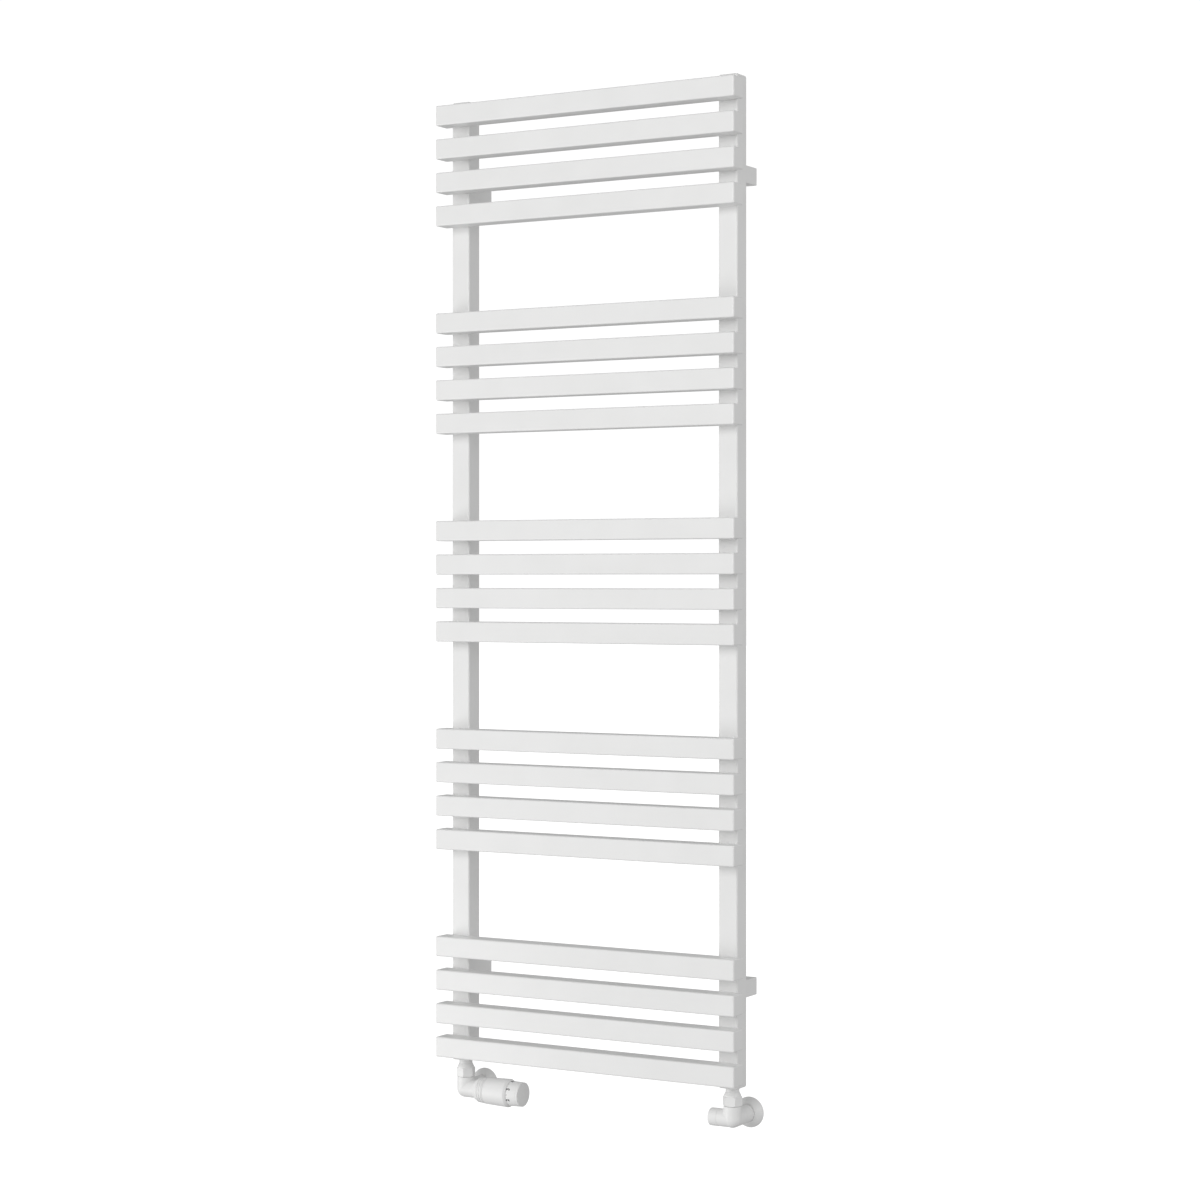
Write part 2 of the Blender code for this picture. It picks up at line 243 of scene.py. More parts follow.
def skin(name, grid, wrap=False):
    """Closed surface through a grid of points.

    A row is a ring of points. Rows go on until they meet the first again (wrap), or start and end
    in a row whose points are all one. Faces are turned outwards by the sign of the volume.
    """
    rows, columns = grid.shape[:2]
    across = np.arange(columns)
    beside = (across + 1) % columns
    if wrap:
        points = grid.reshape(-1, 3)
        first = np.arange(rows)[:, None] * columns
        second = (np.arange(rows)[:, None] + 1) % rows * columns
        fans = np.zeros((0, 3), int)
    else:
        points = np.vstack([grid[:1, 0], grid[1:-1].reshape(-1, 3), grid[-1:, 0]])
        first = 1 + np.arange(rows - 3)[:, None] * columns
        second = first + columns
        last = 1 + (rows - 3) * columns
        top = np.stack([np.zeros(columns, int), 1 + beside, 1 + across], 1)
        bottom = np.stack([np.full(columns, len(points) - 1), last + across, last + beside], 1)
        fans = np.vstack([top, bottom])
    quads = np.stack([first + across, first + beside, second + beside, second + across], -1).reshape(-1, 4)
    halves = np.vstack([quads[:, [0, 1, 2]], quads[:, [0, 2, 3]], fans])
    a, b, c = (points[halves[:, corner]] for corner in range(3))
    if np.einsum("ij,ij->", a, np.cross(b, c)) < 0:
        quads, fans = quads[:, ::-1], fans[:, ::-1]
    mesh = bpy.data.meshes.new(name)
    mesh.from_pydata(points.tolist(), [], quads.tolist() + fans.tolist())
    return finish_mesh(name, mesh)


def finish_mesh(name, mesh):
    """Object at the origin with smooth faces and crisp real edges."""
    mesh.shade_smooth()
    mesh.set_sharp_from_angle(angle=SHARP_ANGLE)
    made = bpy.data.objects.new(name, mesh)
    bpy.context.scene.collection.objects.link(made)
    return made


def dress(piece, material, body, slot, *nodes):
    """Gives a piece its material and the body it moves with, and hides the made parts it stands for."""
    piece.data.materials.clear()
    piece.data.materials.append(material)
    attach(piece, body)
    if nodes:
        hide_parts(*nodes)
    return piece


def rounded_rectangle(half_wide, half_high, corner):
    """Points round a rectangle whose corners are arcs, with a point close to each arc on the flats."""
    turns = np.linspace(0, pi / 2, ROUND_STEPS + 1)
    arc = np.stack([np.cos(turns), np.sin(turns)], 1) * corner
    quarter = np.vstack([[[corner, -EDGE_MARGIN]], arc, [[-EDGE_MARGIN, corner]]])
    ring = []
    for quadrant in range(4):
        angle = quadrant * pi / 2
        spin = np.array([[cos(angle), sin(angle)], [-sin(angle), cos(angle)]])
        wide, high = (half_wide, half_high) if quadrant % 2 == 0 else (half_high, half_wide)
        ring.append((quarter + [wide - corner, high - corner]) @ spin)
    return np.vstack(ring)


def square_tube(low, high, axis, corner, end_round):
    """Rounded rectangle carried along one axis. At each end it draws in along a quarter circle."""
    low, high = np.array(low), np.array(high)
    middle, half = (low + high) / 2, (high - low) / 2
    others = [k for k in range(3) if k != axis]
    turns = np.linspace(0, pi / 2, ROUND_STEPS)
    inset = np.concatenate([[0], end_round * (1 - np.cos(turns))])
    along = np.concatenate([[end_round + EDGE_MARGIN], end_round * (1 - np.sin(turns))])
    inset = np.append(inset, [end_round + EDGE_MARGIN])
    along = np.append(along, [0])
    stations = np.concatenate([half[axis] - along[::-1], along - half[axis]])
    insets = np.concatenate([inset[::-1], inset])
    rows = []
    for station, drawn_in in zip(stations, insets):
        wide, high_half = half[others[0]] - drawn_in, half[others[1]] - drawn_in
        ring = rounded_rectangle(wide, high_half, max(corner - drawn_in, LEAST_CORNER))
        row = np.empty((len(ring), 3))
        row[:, others] = ring
        row[:, axis] = station
        rows.append(row)
    ends = [np.zeros_like(rows[0]), np.zeros_like(rows[0])]
    ends[0][:, axis], ends[1][:, axis] = half[axis], -half[axis]
    return np.stack([ends[0], *rows, ends[1]]) + middle


white_powder = powder_coat()
bar_names = sorted(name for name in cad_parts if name.startswith("bar_"))
for bar_name in bar_names:
    bar = skin(f"{bar_name}_tube", square_tube(*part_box(bar_name), 0, TUBE_CORNER, BAR_END_ROUND))
    dress(bar, white_powder, "radiator", "white_paint", bar_name)


# ---- Uprights ----
# The two collectors are the same tube stood on end, plugged and ground round at top and bottom.
# Round studs are welded to their backs for the brackets.
UPRIGHT_CORNER = 2.2 * MM
UPRIGHT_END_ROUND = 3.0 * MM
UPRIGHT_BACK = -40 * MM
STUD_RADIUS = 6
STUD_END = -12
STUD_ROOT = -40.5

UP, RIGHT, BACK = np.eye(3)[[2, 0, 1]]
ROUND_COLUMNS = 96


def round_corners(outline):
    """Outline of (radius, distance, rounding) points in mm, with an arc in place of each rounded corner."""
    drawn = []
    ring = outline[0][0] > 0
    for index, (radius, distance, rounding) in enumerate(outline):
        here = np.array([radius, distance], float)
        inside = 0 < index < len(outline) - 1
        if not rounding or not (ring or inside):
            drawn.append(here[None])
            continue
        before = np.array(outline[index - 1][:2]) - here
        after = np.array(outline[(index + 1) % len(outline)][:2]) - here
        before, after = before / np.linalg.norm(before), after / np.linalg.norm(after)
        t = np.linspace(0, 1, 7)[:, None]
        start, end = here + before * rounding, here + after * rounding
        drawn.append((1 - t) ** 2 * start + 2 * t * (1 - t) * here + t**2 * end)
    return np.vstack(drawn) * MM


def frame_about(axis):
    """Two directions square to an axis and to each other, the first as near up as it can be."""
    first = UP if abs(axis @ UP) < 0.9 else -BACK
    return first, np.cross(axis, first)


def turn(name, outline, centre, axis, columns=ROUND_COLUMNS):
    """Outline turned about an axis: centre + distance * axis + radius * (cos a, sin a)."""
    points = round_corners(outline)
    first, second = frame_about(axis)
    angle = np.linspace(0, 2 * pi, columns, endpoint=False)
    around = np.cos(angle)[:, None] * first + np.sin(angle)[:, None] * second
    grid = np.array(centre) + points[:, 1, None, None] * axis + points[:, 0, None, None] * around
    return skin(name, grid, wrap=outline[0][0] > 0)


for side in ("left", "right"):
    name = f"collector_{side}"
    low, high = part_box(name)
    high.y = UPRIGHT_BACK
    upright = skin(f"{name}_tube", square_tube(low, high, 2, UPRIGHT_CORNER, UPRIGHT_END_ROUND))
    dress(upright, white_powder, "radiator", "white_paint", name)
    for level in ("upper", "lower"):
        low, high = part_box(f"bracket_{level}_{side}_block")
        centre = ((low.x + high.x) / 2, 0, (low.z + high.z) / 2)
        outline = [
            (0, STUD_END, 0), (STUD_RADIUS, STUD_END, 0.8), (STUD_RADIUS, STUD_ROOT, 0), (0, STUD_ROOT, 0),
        ]
        stud = turn(f"stud_{level}_{side}", outline, centre, BACK)
        dress(stud, white_powder, "radiator", "white_paint")


# ---- Welds ----
# Each bar is welded all round where its back lies on an upright. The bead fills the groove
# between the two rounded tube edges and shows the ripple of the torch.
WELD_RADIUS = 1.0 * MM
WELD_RIPPLE = 0.12 * MM
WELD_HALF = 14.2 * MM
WELD_SQUARENESS = 0.22
WELD_POINTS = 96
WELD_SIDES = 8
RIPPLES = 48


def weld_loops(centre_x, heights, depth):
    """Bead of round section carried round a square path, swelling and shrinking along it."""
    step = np.linspace(0, 2 * pi, WELD_POINTS, endpoint=False)
    path_x = WELD_HALF * np.sign(np.cos(step)) * np.abs(np.cos(step)) ** WELD_SQUARENESS
    path_z = WELD_HALF * np.sign(np.sin(step)) * np.abs(np.sin(step)) ** WELD_SQUARENESS
    outward = np.stack([path_x, path_z], 1)
    outward /= np.linalg.norm(outward, axis=1, keepdims=True)
    around = np.linspace(0, 2 * pi, WELD_SIDES, endpoint=False)
    radius = WELD_RADIUS + WELD_RIPPLE * np.cos(step * RIPPLES)
    swell = radius[:, None] * np.cos(around)
    grid = np.empty((WELD_POINTS, WELD_SIDES, 3))
    grid[..., 0] = centre_x + path_x[:, None] + swell * outward[:, :1]
    grid[..., 1] = depth + radius[:, None] * np.sin(around)
    grid[..., 2] = path_z[:, None] + swell * outward[:, 1:]
    return [grid + [0, 0, height] for height in heights]


def join_pieces(name, pieces):
    """One mesh from several, each still closed on its own."""
    whole = bmesh.new()
    for piece in pieces:
        whole.from_mesh(piece.data)
        bpy.data.objects.remove(piece)
    mesh = bpy.data.meshes.new(name)
    whole.to_mesh(mesh)
    whole.free()
    return finish_mesh(name, mesh)


bar_heights = [sum(corner.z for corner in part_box(name)) / 2 for name in bar_names]
for side in ("left", "right"):
    low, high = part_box(f"collector_{side}")
    loops = weld_loops((low.x + high.x) / 2, bar_heights, low.y)
    beads = [skin(f"bead_{side}_{k}", loop, wrap=True) for k, loop in enumerate(loops)]
    dress(join_pieces(f"welds_{side}", beads), white_powder, "radiator", "white_paint")


# ---- Wall brackets ----
# A solid block screwed to the wall through its back. The stud slides into its socket, and a
# grub screw from below holds it. Blocks are powder coated, screws are plain steel.
BLOCK_CORNER = 1.0 * MM
SOCKET_RADIUS = 6.3
SOCKET_DEPTH = 31.7
SCREW_HOLE = 2.75
GRUB_HOLE = 2.8


def cut(piece, *cutters):
    """Takes the cutters' shapes out of a piece."""
    for cutter in cutters:
        step = piece.modifiers.new(cutter.name, "BOOLEAN")
        step.operation = "DIFFERENCE"
        step.object = cutter
    seen = piece.evaluated_get(bpy.context.evaluated_depsgraph_get())
    mesh = bpy.data.meshes.new_from_object(seen)
    name = piece.name
    bpy.data.objects.remove(piece)
    for cutter in cutters:
        bpy.data.objects.remove(cutter)
    mesh.name = name
    return finish_mesh(name, mesh)


def drill(radius, start, end, centre, axis, columns=48, countersink=0.0):
    """Round cutter from start to end along an axis, in mm, with its mouth opened at the end."""
    mouth = [(radius, end, 0)]
    if countersink:
        mouth = [(radius + countersink + 1, end + 1, 0), (radius, end - countersink, 0)]
    outline = [(0, mouth[0][1], 0), *mouth, (radius, start, 0), (0, start, 0)]
    return turn("drill", outline, centre, axis, columns)


for side in ("left", "right"):
    for level in ("upper", "lower"):
        name = f"bracket_{level}_{side}"
        low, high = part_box(f"{name}_block")
        middle = ((low.x + high.x) / 2, 0, (low.z + high.z) / 2)
        front = low.y / MM
        block = skin(f"{name}_body", square_tube(low, high, 1, BLOCK_CORNER, BLOCK_CORNER))
        socket = drill(SOCKET_RADIUS, -front - SOCKET_DEPTH, -front, middle, -BACK, 48, 0.6)
        wall_hole = drill(SCREW_HOLE, -9, 2, middle, BACK, 32)
        grub_low, grub_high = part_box(f"{name}_grub_screw")
        grub_centre = (middle[0], (grub_low.y + grub_high.y) / 2, middle[2])
        grub_hole = drill(GRUB_HOLE, 5.5, (high.z - middle[2]) / MM, grub_centre, -UP, 32, 0.5)
        block = cut(block, socket, wall_hole, grub_hole)
        dress(block, white_powder, "radiator", "white_paint", f"{name}_block")


# ---- Screws and vent ----
# Socket-headed grub screws in the brackets, and a brass bleed plug with a square-ended screw in
# the back of the left upright, where it is out of sight from the room.
def steel():
    """Plain turned steel: fine rings left by the tool."""
    metal = Finish("steel", metallic=1.0)
    rings = metal.noise(0.25 * MM, 2.0)
    metal.colour_between(rings, (0.52, 0.52, 0.54), (0.66, 0.66, 0.68))
    metal.roughness(0.24 + 0.16 * rings)
    metal.bump(rings, 0.01 * MM)
    return metal.material


def brass():
    """Turned brass, a little duller in patches where it has been handled."""
    metal = Finish("brass", metallic=1.0)
    tarnish = metal.noise(4 * MM, 3.0)
    grain = metal.noise(0.2 * MM, 1.0)
    metal.colour_between(tarnish, (0.62, 0.42, 0.17), (0.78, 0.58, 0.28))
    metal.roughness(0.22 + 0.18 * tarnish)
    metal.bump(grain, 0.008 * MM)
    return metal.material


EDGE_LIMIT = 1.15
FACE_SHARE = 0.97
CHAMFER_SLOPE = 0.5


def hexagon(name, flats, start, end, centre, axis, spin=0.0, bore=0.0, chamfer=1.0):
    """Nut or hexagonal bar between two distances along an axis, in mm.

    At each angle the radius is the distance to the flat over the cosine, and never more than the
    cone that the chamfer turns on each end. The limit takes the last sharpness off the edges.
    """
    angle = np.linspace(0, 2 * pi, ROUND_COLUMNS, endpoint=False)
    to_flat = flats / 2 / np.cos((angle + pi / 6) % (pi / 3) - pi / 6)
    to_flat = np.minimum(to_flat, flats / 2 * EDGE_LIMIT)
    edge = chamfer * np.linspace(0, 1, 9)
    along = np.concatenate([end - edge, (start + edge)[::-1]])
    cone = flats / 2 * FACE_SHARE + np.minimum(end - along, along - start) / CHAMFER_SLOPE
    radius = np.minimum(to_flat, cone[:, None])
    if bore:
        radius = np.vstack([radius, np.full((2, ROUND_COLUMNS), bore)])
        along = np.append(along, [start, end])
    else:
        radius = np.vstack([0 * radius[:1], radius, 0 * radius[:1]])
        along = np.concatenate([[end], along, [start]])
    first, second = frame_about(axis)
    angle = angle + spin
    around = np.cos(angle)[:, None] * first + np.sin(angle)[:, None] * second
    grid = np.array(centre) + along[:, None, None] * MM * axis + radius[..., None] * MM * around
    return skin(name, grid, wrap=bool(bore))


GRUB_RADIUS = 2.5
GRUB_KEY = 2.5
KEY_CHAMFER = 0.01
VENT_FLATS = 17
VENT_BORE = 2.8

plain_steel, turned_brass = steel(), brass()
for side in ("left", "right"):
    for level in ("upper", "lower"):
        node = f"bracket_{level}_{side}_grub_screw"
        low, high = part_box(node)
        centre = ((low.x + high.x) / 2, (low.y + high.y) / 2, low.z)
        long = (high.z - low.z) / MM
        outline = [
            (0, long, 0), (2, long, 0.3), (GRUB_RADIUS, long - 0.7, 0), (GRUB_RADIUS, 0.3, 0.2),
            (2.2, 0, 0), (0, 0, 0),
        ]
        grub = turn(node.replace("grub", "socket"), outline, centre, UP, 48)
        key = hexagon("key", GRUB_KEY, -1, 2.6, centre, UP, chamfer=KEY_CHAMFER)
        dress(cut(grub, key), plain_steel, "radiator", "steel", node)

low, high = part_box("vent_screw")
vent_centre = ((low.x + high.x) / 2, UPRIGHT_BACK, (low.z + high.z) / 2)
plug = hexagon("vent_hexagon", VENT_FLATS, 0.3, 9, vent_centre, BACK, bore=VENT_BORE, chamfer=0.9)
shank_outline = [(VENT_BORE, 0.6, 0), (6, 0.6, 0), (6, -12, 0.6), (VENT_BORE, -12, 0)]
shank = turn("vent_shank", shank_outline, vent_centre, BACK)
dress(join_pieces("vent_plug_turned", [plug, shank]), turned_brass, "radiator", "brass", "vent_plug")
screw_outline = [(0, 9.6, 0), (2.5, 9.6, 0.2), (2.5, -6.5, 0.2), (0, -8.7, 0)]
vent_stem = turn("vent_stem", screw_outline, vent_centre, BACK, 48)
square_low = np.array(vent_centre) + [-2.25 * MM, 9.4 * MM, -2.25 * MM]
square_high = np.array(vent_centre) + [2.25 * MM, 12 * MM, 2.25 * MM]
vent_square = skin("vent_square", square_tube(square_low, square_high, 1, 0.4 * MM, 0.4 * MM))
vent_screw = join_pieces("vent_screw_turned", [vent_stem, vent_square])
dress(vent_screw, plain_steel, "vent_screw", "steel", "vent_screw")


# ---- Valve bodies ----
# Forged brass corner bodies, lacquered white. Three round branches meet in the middle: up to the
# radiator, back to the wall, and inward for the working parts. Their creases have a small fillet.
BODY_RADIUS = 13.0
THREAD_RADIUS = 9.9
CREASE = 1.6
BODY_ROWS = 150
BODY_COLUMNS = 320


def lacquer():
    """White lacquer on forged brass: smoother than powder, with a soft slow ripple."""
    paint = Finish("white_lacquer", coat=0.1)
    ripple = paint.noise(3.0 * MM, 1.0)
    grain = paint.noise(0.5 * MM, 1.0)
    shade = paint.noise(20 * MM, 2.0)
    paint.colour_between(shade, (0.815, 0.815, 0.81), (0.835, 0.835, 0.83))
    paint.roughness(0.44 + 0.08 * ripple)
    paint.bump(ripple * 0.7 + grain * 0.3, 0.03 * MM)
    return paint.material


def branch_reach(direction, axis, radius, length):
    """How far the centre is from a round branch's skin: the less of radius / sine and length / cosine."""
    along = direction @ axis
    across = np.sqrt(np.maximum(1 - along**2, 1e-12))
    reach = np.minimum(radius / across, length / np.maximum(along, 1e-9))
    return np.where(along > 0, reach, 0)


def swell_together(a, b, radius):
    """The greater of two reaches, with a fillet where they cross well away from the middle."""
    away = np.clip((np.minimum(a, b) / radius - 1) / 0.15, 0, 1)
    blend = CREASE * away * away * (3 - 2 * away) + 1e-9
    near = np.maximum(blend - np.abs(a - b), 0) / blend
    return np.maximum(a, b) + near * near * blend / 4


def pull_onto(direction, axis, angle, within):
    """Directions that nearly make an angle with an axis are moved to make it exactly, for a crisp rim."""
    along = np.clip(direction @ axis, -1, 1)
    side = direction - along[..., None] * axis
    side /= np.maximum(np.linalg.norm(side, axis=-1, keepdims=True), 1e-9)
    near = np.abs(np.arccos(along) - angle) < within
    exact = cos(angle) * axis + sin(angle) * side
    return np.where(near[..., None], exact, direction)


def corner_body(name, centre, inward, stub, stub_end, neck, neck_end):
    """Star-shaped skin: in each direction the body ends where the furthest-reaching branch ends.

    Every branch is a wide cylinder with a narrower, longer one inside it for its thread.
    """
    wide, thread = BODY_RADIUS, THREAD_RADIUS
    top, thread_top = 18.2, 26.2
    branches = [
        (UP, wide, top, thread, thread_top),
        (BACK, wide, 21.0, thread, 29.0),
        (inward, stub, stub_end, neck, neck_end),
    ]
    mouth = [0, np.arctan(thread / thread_top), np.arctan(thread / top), np.arctan(wide / top), pi]
    steps = [8, 14, 8, BODY_ROWS]
    rows = [np.linspace(a, b, count, endpoint=False) for a, b, count in zip(mouth, mouth[1:], steps)]
    polar = np.append(np.concatenate(rows), pi)[:, None]
    around = np.linspace(0, 2 * pi, BODY_COLUMNS, endpoint=False)
    sine = np.sin(polar)
    direction = np.stack([sine * np.cos(around), sine * np.sin(around), np.cos(polar) + 0 * around], -1)
    for axis, outer, outer_end, inner, inner_end in branches[1:]:
        for angle in (outer / outer_end, inner / outer_end, inner / inner_end):
            direction = pull_onto(direction, axis, np.arctan(angle), 0.6 * pi / BODY_ROWS)
    reach = np.zeros(direction.shape[:2])
    for axis, outer, outer_end, inner, inner_end in branches:
        reach = swell_together(reach, branch_reach(direction, axis, outer, outer_end), wide)
    for axis, outer, outer_end, inner, inner_end in branches:
        reach = np.maximum(reach, branch_reach(direction, axis, inner, inner_end))
    reach = np.maximum(reach, wide)
    return skin(name, np.array(centre) + direction * reach[..., None] * MM)


FREE_BORE = 7.8
SEAT_BORE = 4
OUTLET_BORE = 4.5
OUTLET_ASIDE = 1.5 * MM
PASSAGE_BORE = 2.6
PASSAGE_ASIDE = 7 * MM


def waterway(centre, inward, seat, chamber, chamber_end):
    """Cutters for the way through: pipe, side passage, chamber, seat and outlet."""
    side = float(np.sign(inward[0]))
    aside = np.array(centre)
    return [
        drill(chamber, seat, chamber_end, centre, inward),
        drill(SEAT_BORE, -2, seat + 1, centre, inward),
        drill(OUTLET_BORE, -2, 30, aside - [side * OUTLET_ASIDE, 0, 0], UP),
        drill(FREE_BORE, 18, 30, centre, BACK),
        drill(PASSAGE_BORE, 2, 19, aside + [side * PASSAGE_ASIDE, 0, 0], BACK, 32),
    ]


white_lacquer = lacquer()


def valve_centre(prefix):
    """Where the three branches meet: on the tail's axis, at the sleeve nut's height."""
    tail_low, tail_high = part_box(f"{prefix}_tail")
    nut_low, nut_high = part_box(f"{prefix}_sleeve_nut")
    return ((tail_low.x + tail_high.x) / 2, (tail_low.y + tail_high.y) / 2, (nut_low.z + nut_high.z) / 2)


trv_centre, lock_centre = valve_centre("trv"), valve_centre("lock")
trv_shape = corner_body("trv_forging", trv_centre, RIGHT, BODY_RADIUS, 19.7, THREAD_RADIUS, 28)
trv_shape = cut(trv_shape, *waterway(trv_centre, RIGHT, 4, 8.8, 29))
dress(trv_shape, white_lacquer, "radiator", "white_valve", "trv_body")
lock_shape = corner_body("lock_forging", lock_centre, -RIGHT, 12.6, 20.7, 9.5, 31)
flange_seat = drill(7.3, 18.7, 32, lock_centre, -RIGHT)
lock_shape = cut(lock_shape, *waterway(lock_centre, -RIGHT, 4, 5.3, 19), flange_seat)
dress(lock_shape, white_lacquer, "radiator", "white_valve", "lock_body")


# ---- Tails, nuts, pipes and rosettes ----
# A union nut draws the tail down on the body, and a smooth sleeve nut squeezes an olive onto the
# pipe. A thin pressed rosette covers the hole in the wall. All that shows is lacquered white.
def copper():
    """Drawn copper tube: long fine marks along it and a slow brown bloom."""
    metal = Finish("copper", metallic=1.0)
    marks = metal.noise(0.4 * MM, 2.0, (1, 0.05, 1))
    bloom = metal.noise(9 * MM, 2.0)
    metal.colour_between(bloom, (0.66, 0.33, 0.22), (0.84, 0.50, 0.38))
    metal.roughness(0.26 + 0.16 * marks)
    metal.bump(marks, 0.01 * MM)
    return metal.material


PIPE_RADIUS = 7.5
PIPE_BORE = 6.5
UNION_FLATS = 25
WALL = 55
ROSETTE_RADIUS = 22

drawn_copper = copper()


def fit_valve(prefix, water, centre, turn_of_nut):
    """The fittings of one valve, in mm from its centre: up for the union, back for the pipe."""
    tail_outline = [
        (9, 54, 0.5), (9, 43.8, 0), (9.8, 43.8, 0.3), (9.8, 38.2, 0), (8.2, 38.2, 0), (8.2, 29.2, 0),
        (9.9, 29.2, 0), (9.9, 26.5, 0), (5.5, 26.5, 0), (5.5, 54, 0),
    ]
    tail = turn(f"{prefix}_tail_turned", tail_outline, centre, UP)
    dress(tail, white_lacquer, "radiator", "white_valve", f"{prefix}_tail")

    name = f"{prefix}_union_nut_hexagon"
    nut = hexagon(name, UNION_FLATS, 18.4, 32.4, centre, UP, turn_of_nut, 10.2, 1.2)
    shoulder_outline = [
        (8.5, 38.15, 0), (10.0, 38.15, 0.2), (10.8, 37.2, 0.8), (11.0, 35.9, 0.8), (12.2, 34.3, 0.8),
        (12.3, 32.0, 0), (9.0, 32.0, 0), (8.5, 32.5, 0),
    ]
    shoulder = turn(f"{prefix}_nut_shoulder", shoulder_outline, centre, UP)
    whole_nut = join_pieces(f"{prefix}_union_nut_whole", [nut, shoulder])
    dress(whole_nut, white_lacquer, "radiator", "white_valve", f"{prefix}_union_nut")

    sleeve_outline = [
        (FREE_BORE, 42, 0.2), (BODY_RADIUS, 42, 0.6), (BODY_RADIUS, 21.3, 0.3), (10.2, 21.3, 0),
        (10.2, 35.5, 0), (FREE_BORE, 37.5, 0),
    ]
    sleeve = turn(f"{prefix}_sleeve_nut_turned", sleeve_outline, centre, BACK)
    dress(sleeve, white_lacquer, "radiator", "white_valve", f"{prefix}_sleeve_nut")
    olive_outline = [
        (FREE_BORE, 35, 0), (8.6, 35, 0.3), (9.6, 32.2, 1.2), (8.8, 29.4, 0.3), (FREE_BORE, 29.4, 0),
    ]
    olive = turn(f"{prefix}_olive_turned", olive_outline, centre, BACK)
    dress(olive, turned_brass, "radiator", "brass", f"{prefix}_olive")
    pipe_outline = [
        (PIPE_RADIUS, WALL, 0.2), (PIPE_RADIUS, 18.3, 0.3), (PIPE_BORE, 18.3, 0.2), (PIPE_BORE, WALL, 0.2),
    ]
    pipe = turn(f"{water}_tube", pipe_outline, centre, BACK)
    dress(pipe, drawn_copper, "radiator", "copper", f"{water}_pipe")

    rosette_outline = [
        (ROSETTE_RADIUS, WALL, 0), (ROSETTE_RADIUS, 53.5, 0.4), (21.1, 51, 1.2), (16.4, 44.4, 1.8),
        (14.3, 42.5, 0.8), (FREE_BORE, 42.5, 0.2), (FREE_BORE, 43.7, 0), (13.6, 43.7, 0.8),
        (15.2, 45.2, 1.0), (19.8, 51.6, 1.0), (20.6, WALL, 0),
    ]
    rosette = turn(f"{water}_rosette_pressed", rosette_outline, centre, BACK, 128)
    dress(rosette, white_lacquer, "radiator", "white_valve", f"{water}_rosette")


fit_valve("trv", "supply", trv_centre, radians(-14))
fit_valve("lock", "return", lock_centre, radians(12))


# ---- Thermostatic head ----
# Moulded white shells on an inner carrier. The ribbed collar screws on the valve, the long
# sleeve and the carrier stay still, and the dial turns on the carrier's thread with its end cap.
DIAL_START, DIAL_END = 81.4, 97.1
DIAL_WIDE, DIAL_NARROW = 18.5, 18.0
MARKS_START = 81.6
DIGIT_HEIGHT = 5.5
DIGIT_SHARE = 0.7
DIGIT_STROKE = 0.22
PRINT_THICKNESS = 0.06
BEND_STRIP = 0.5
DOT_RADIUS = 0.6
DOT_INSET = 1.4
FIRST_MARK = 28.5
MARK_PITCH = 360 / 7


def plastic():
    """Moulded white plastic, with a fine spark-eroded grain and a little gloss."""
    shell = Finish("moulded_white", coat=0.08)
    grain = shell.noise(0.25 * MM, 1.0)
    flow = shell.noise(12 * MM, 2.0, (0.4, 1, 1))
    shell.colour_between(flow, (0.822, 0.822, 0.818), (0.838, 0.838, 0.834))
    shell.roughness(0.46 + 0.08 * grain)
    shell.bump(grain, 0.015 * MM)
    return shell.material


def print_black():
    """Pad-printed black, slightly uneven in gloss."""
    ink = Finish("black_print")
    mottle = ink.noise(0.6 * MM, 2.0)
    ink.colour_between(mottle, (0.016, 0.016, 0.017), (0.03, 0.03, 0.031))
    ink.roughness(0.42 + 0.12 * mottle)
    return ink.material


moulded_white, black_print = plastic(), print_black()
ribs = []
for rib in range(3):
    radius, start = 19.1 - 0.35 * rib, 34.7 - 3.9 * rib
    floor_of_groove = radius - 0.8
    ribs += [(floor_of_groove, start + 3.6, 0.15), (floor_of_groove, start + 2.9, 0.15)]
    ribs += [(radius, start + 2.6, 0.3), (radius, start, 0.3)]
head_shapes = {
    "collar": [
        (10.2, 20.1, 0), (10.2, 30, 0), (13.3, 30, 0), (13.3, 39.7, 0), (19.5, 39.7, 0.2),
        (19.5, 38.6, 0.3),
        *ribs,
        (15.2, 21, 0.5), (13.4, 20.1, 0.3),
    ],
    "sleeve": [
        (18.8, 81, 0.15), (21, 77.3, 0.5), (19.6, 40, 0.5), (13.3, 40, 0), (13.3, 41.7, 0),
        (17.9, 41.7, 0), (19.1, 76, 0), (18, 79, 0), (18, 81, 0.15),
    ],
    "dial": [
        (DIAL_NARROW, DIAL_END, 0.1), (DIAL_WIDE, DIAL_START, 0.3), (17.6, DIAL_START, 0), (17.6, 76, 0),
        (16, 76, 0), (16, DIAL_END, 0),
    ],
    "cap": [
        (0, 102.9, 0), (9, 102.5, 9), (17.8, 101.2, 1.9), (18, 97.25, 0.05), (15.7, 97.25, 0),
        (15.7, 90, 0), (14.2, 90, 0), (14.2, 97.3, 0), (0, 97.3, 0),
    ],
}
head_bodies = {"collar": "radiator", "sleeve": "radiator", "dial": "dial", "cap": "dial"}
for part, outline in head_shapes.items():
    shell = turn(f"head_{part}_moulded", outline, trv_centre, RIGHT, 128)
    dress(shell, moulded_white, head_bodies[part], "white_plastic", f"head_{part}")


def dial_radius(distance):
    """The dial narrows evenly from its start to its end."""
    share = (distance - DIAL_START) / (DIAL_END - DIAL_START)
    return DIAL_WIDE + (DIAL_NARROW - DIAL_WIDE) * share


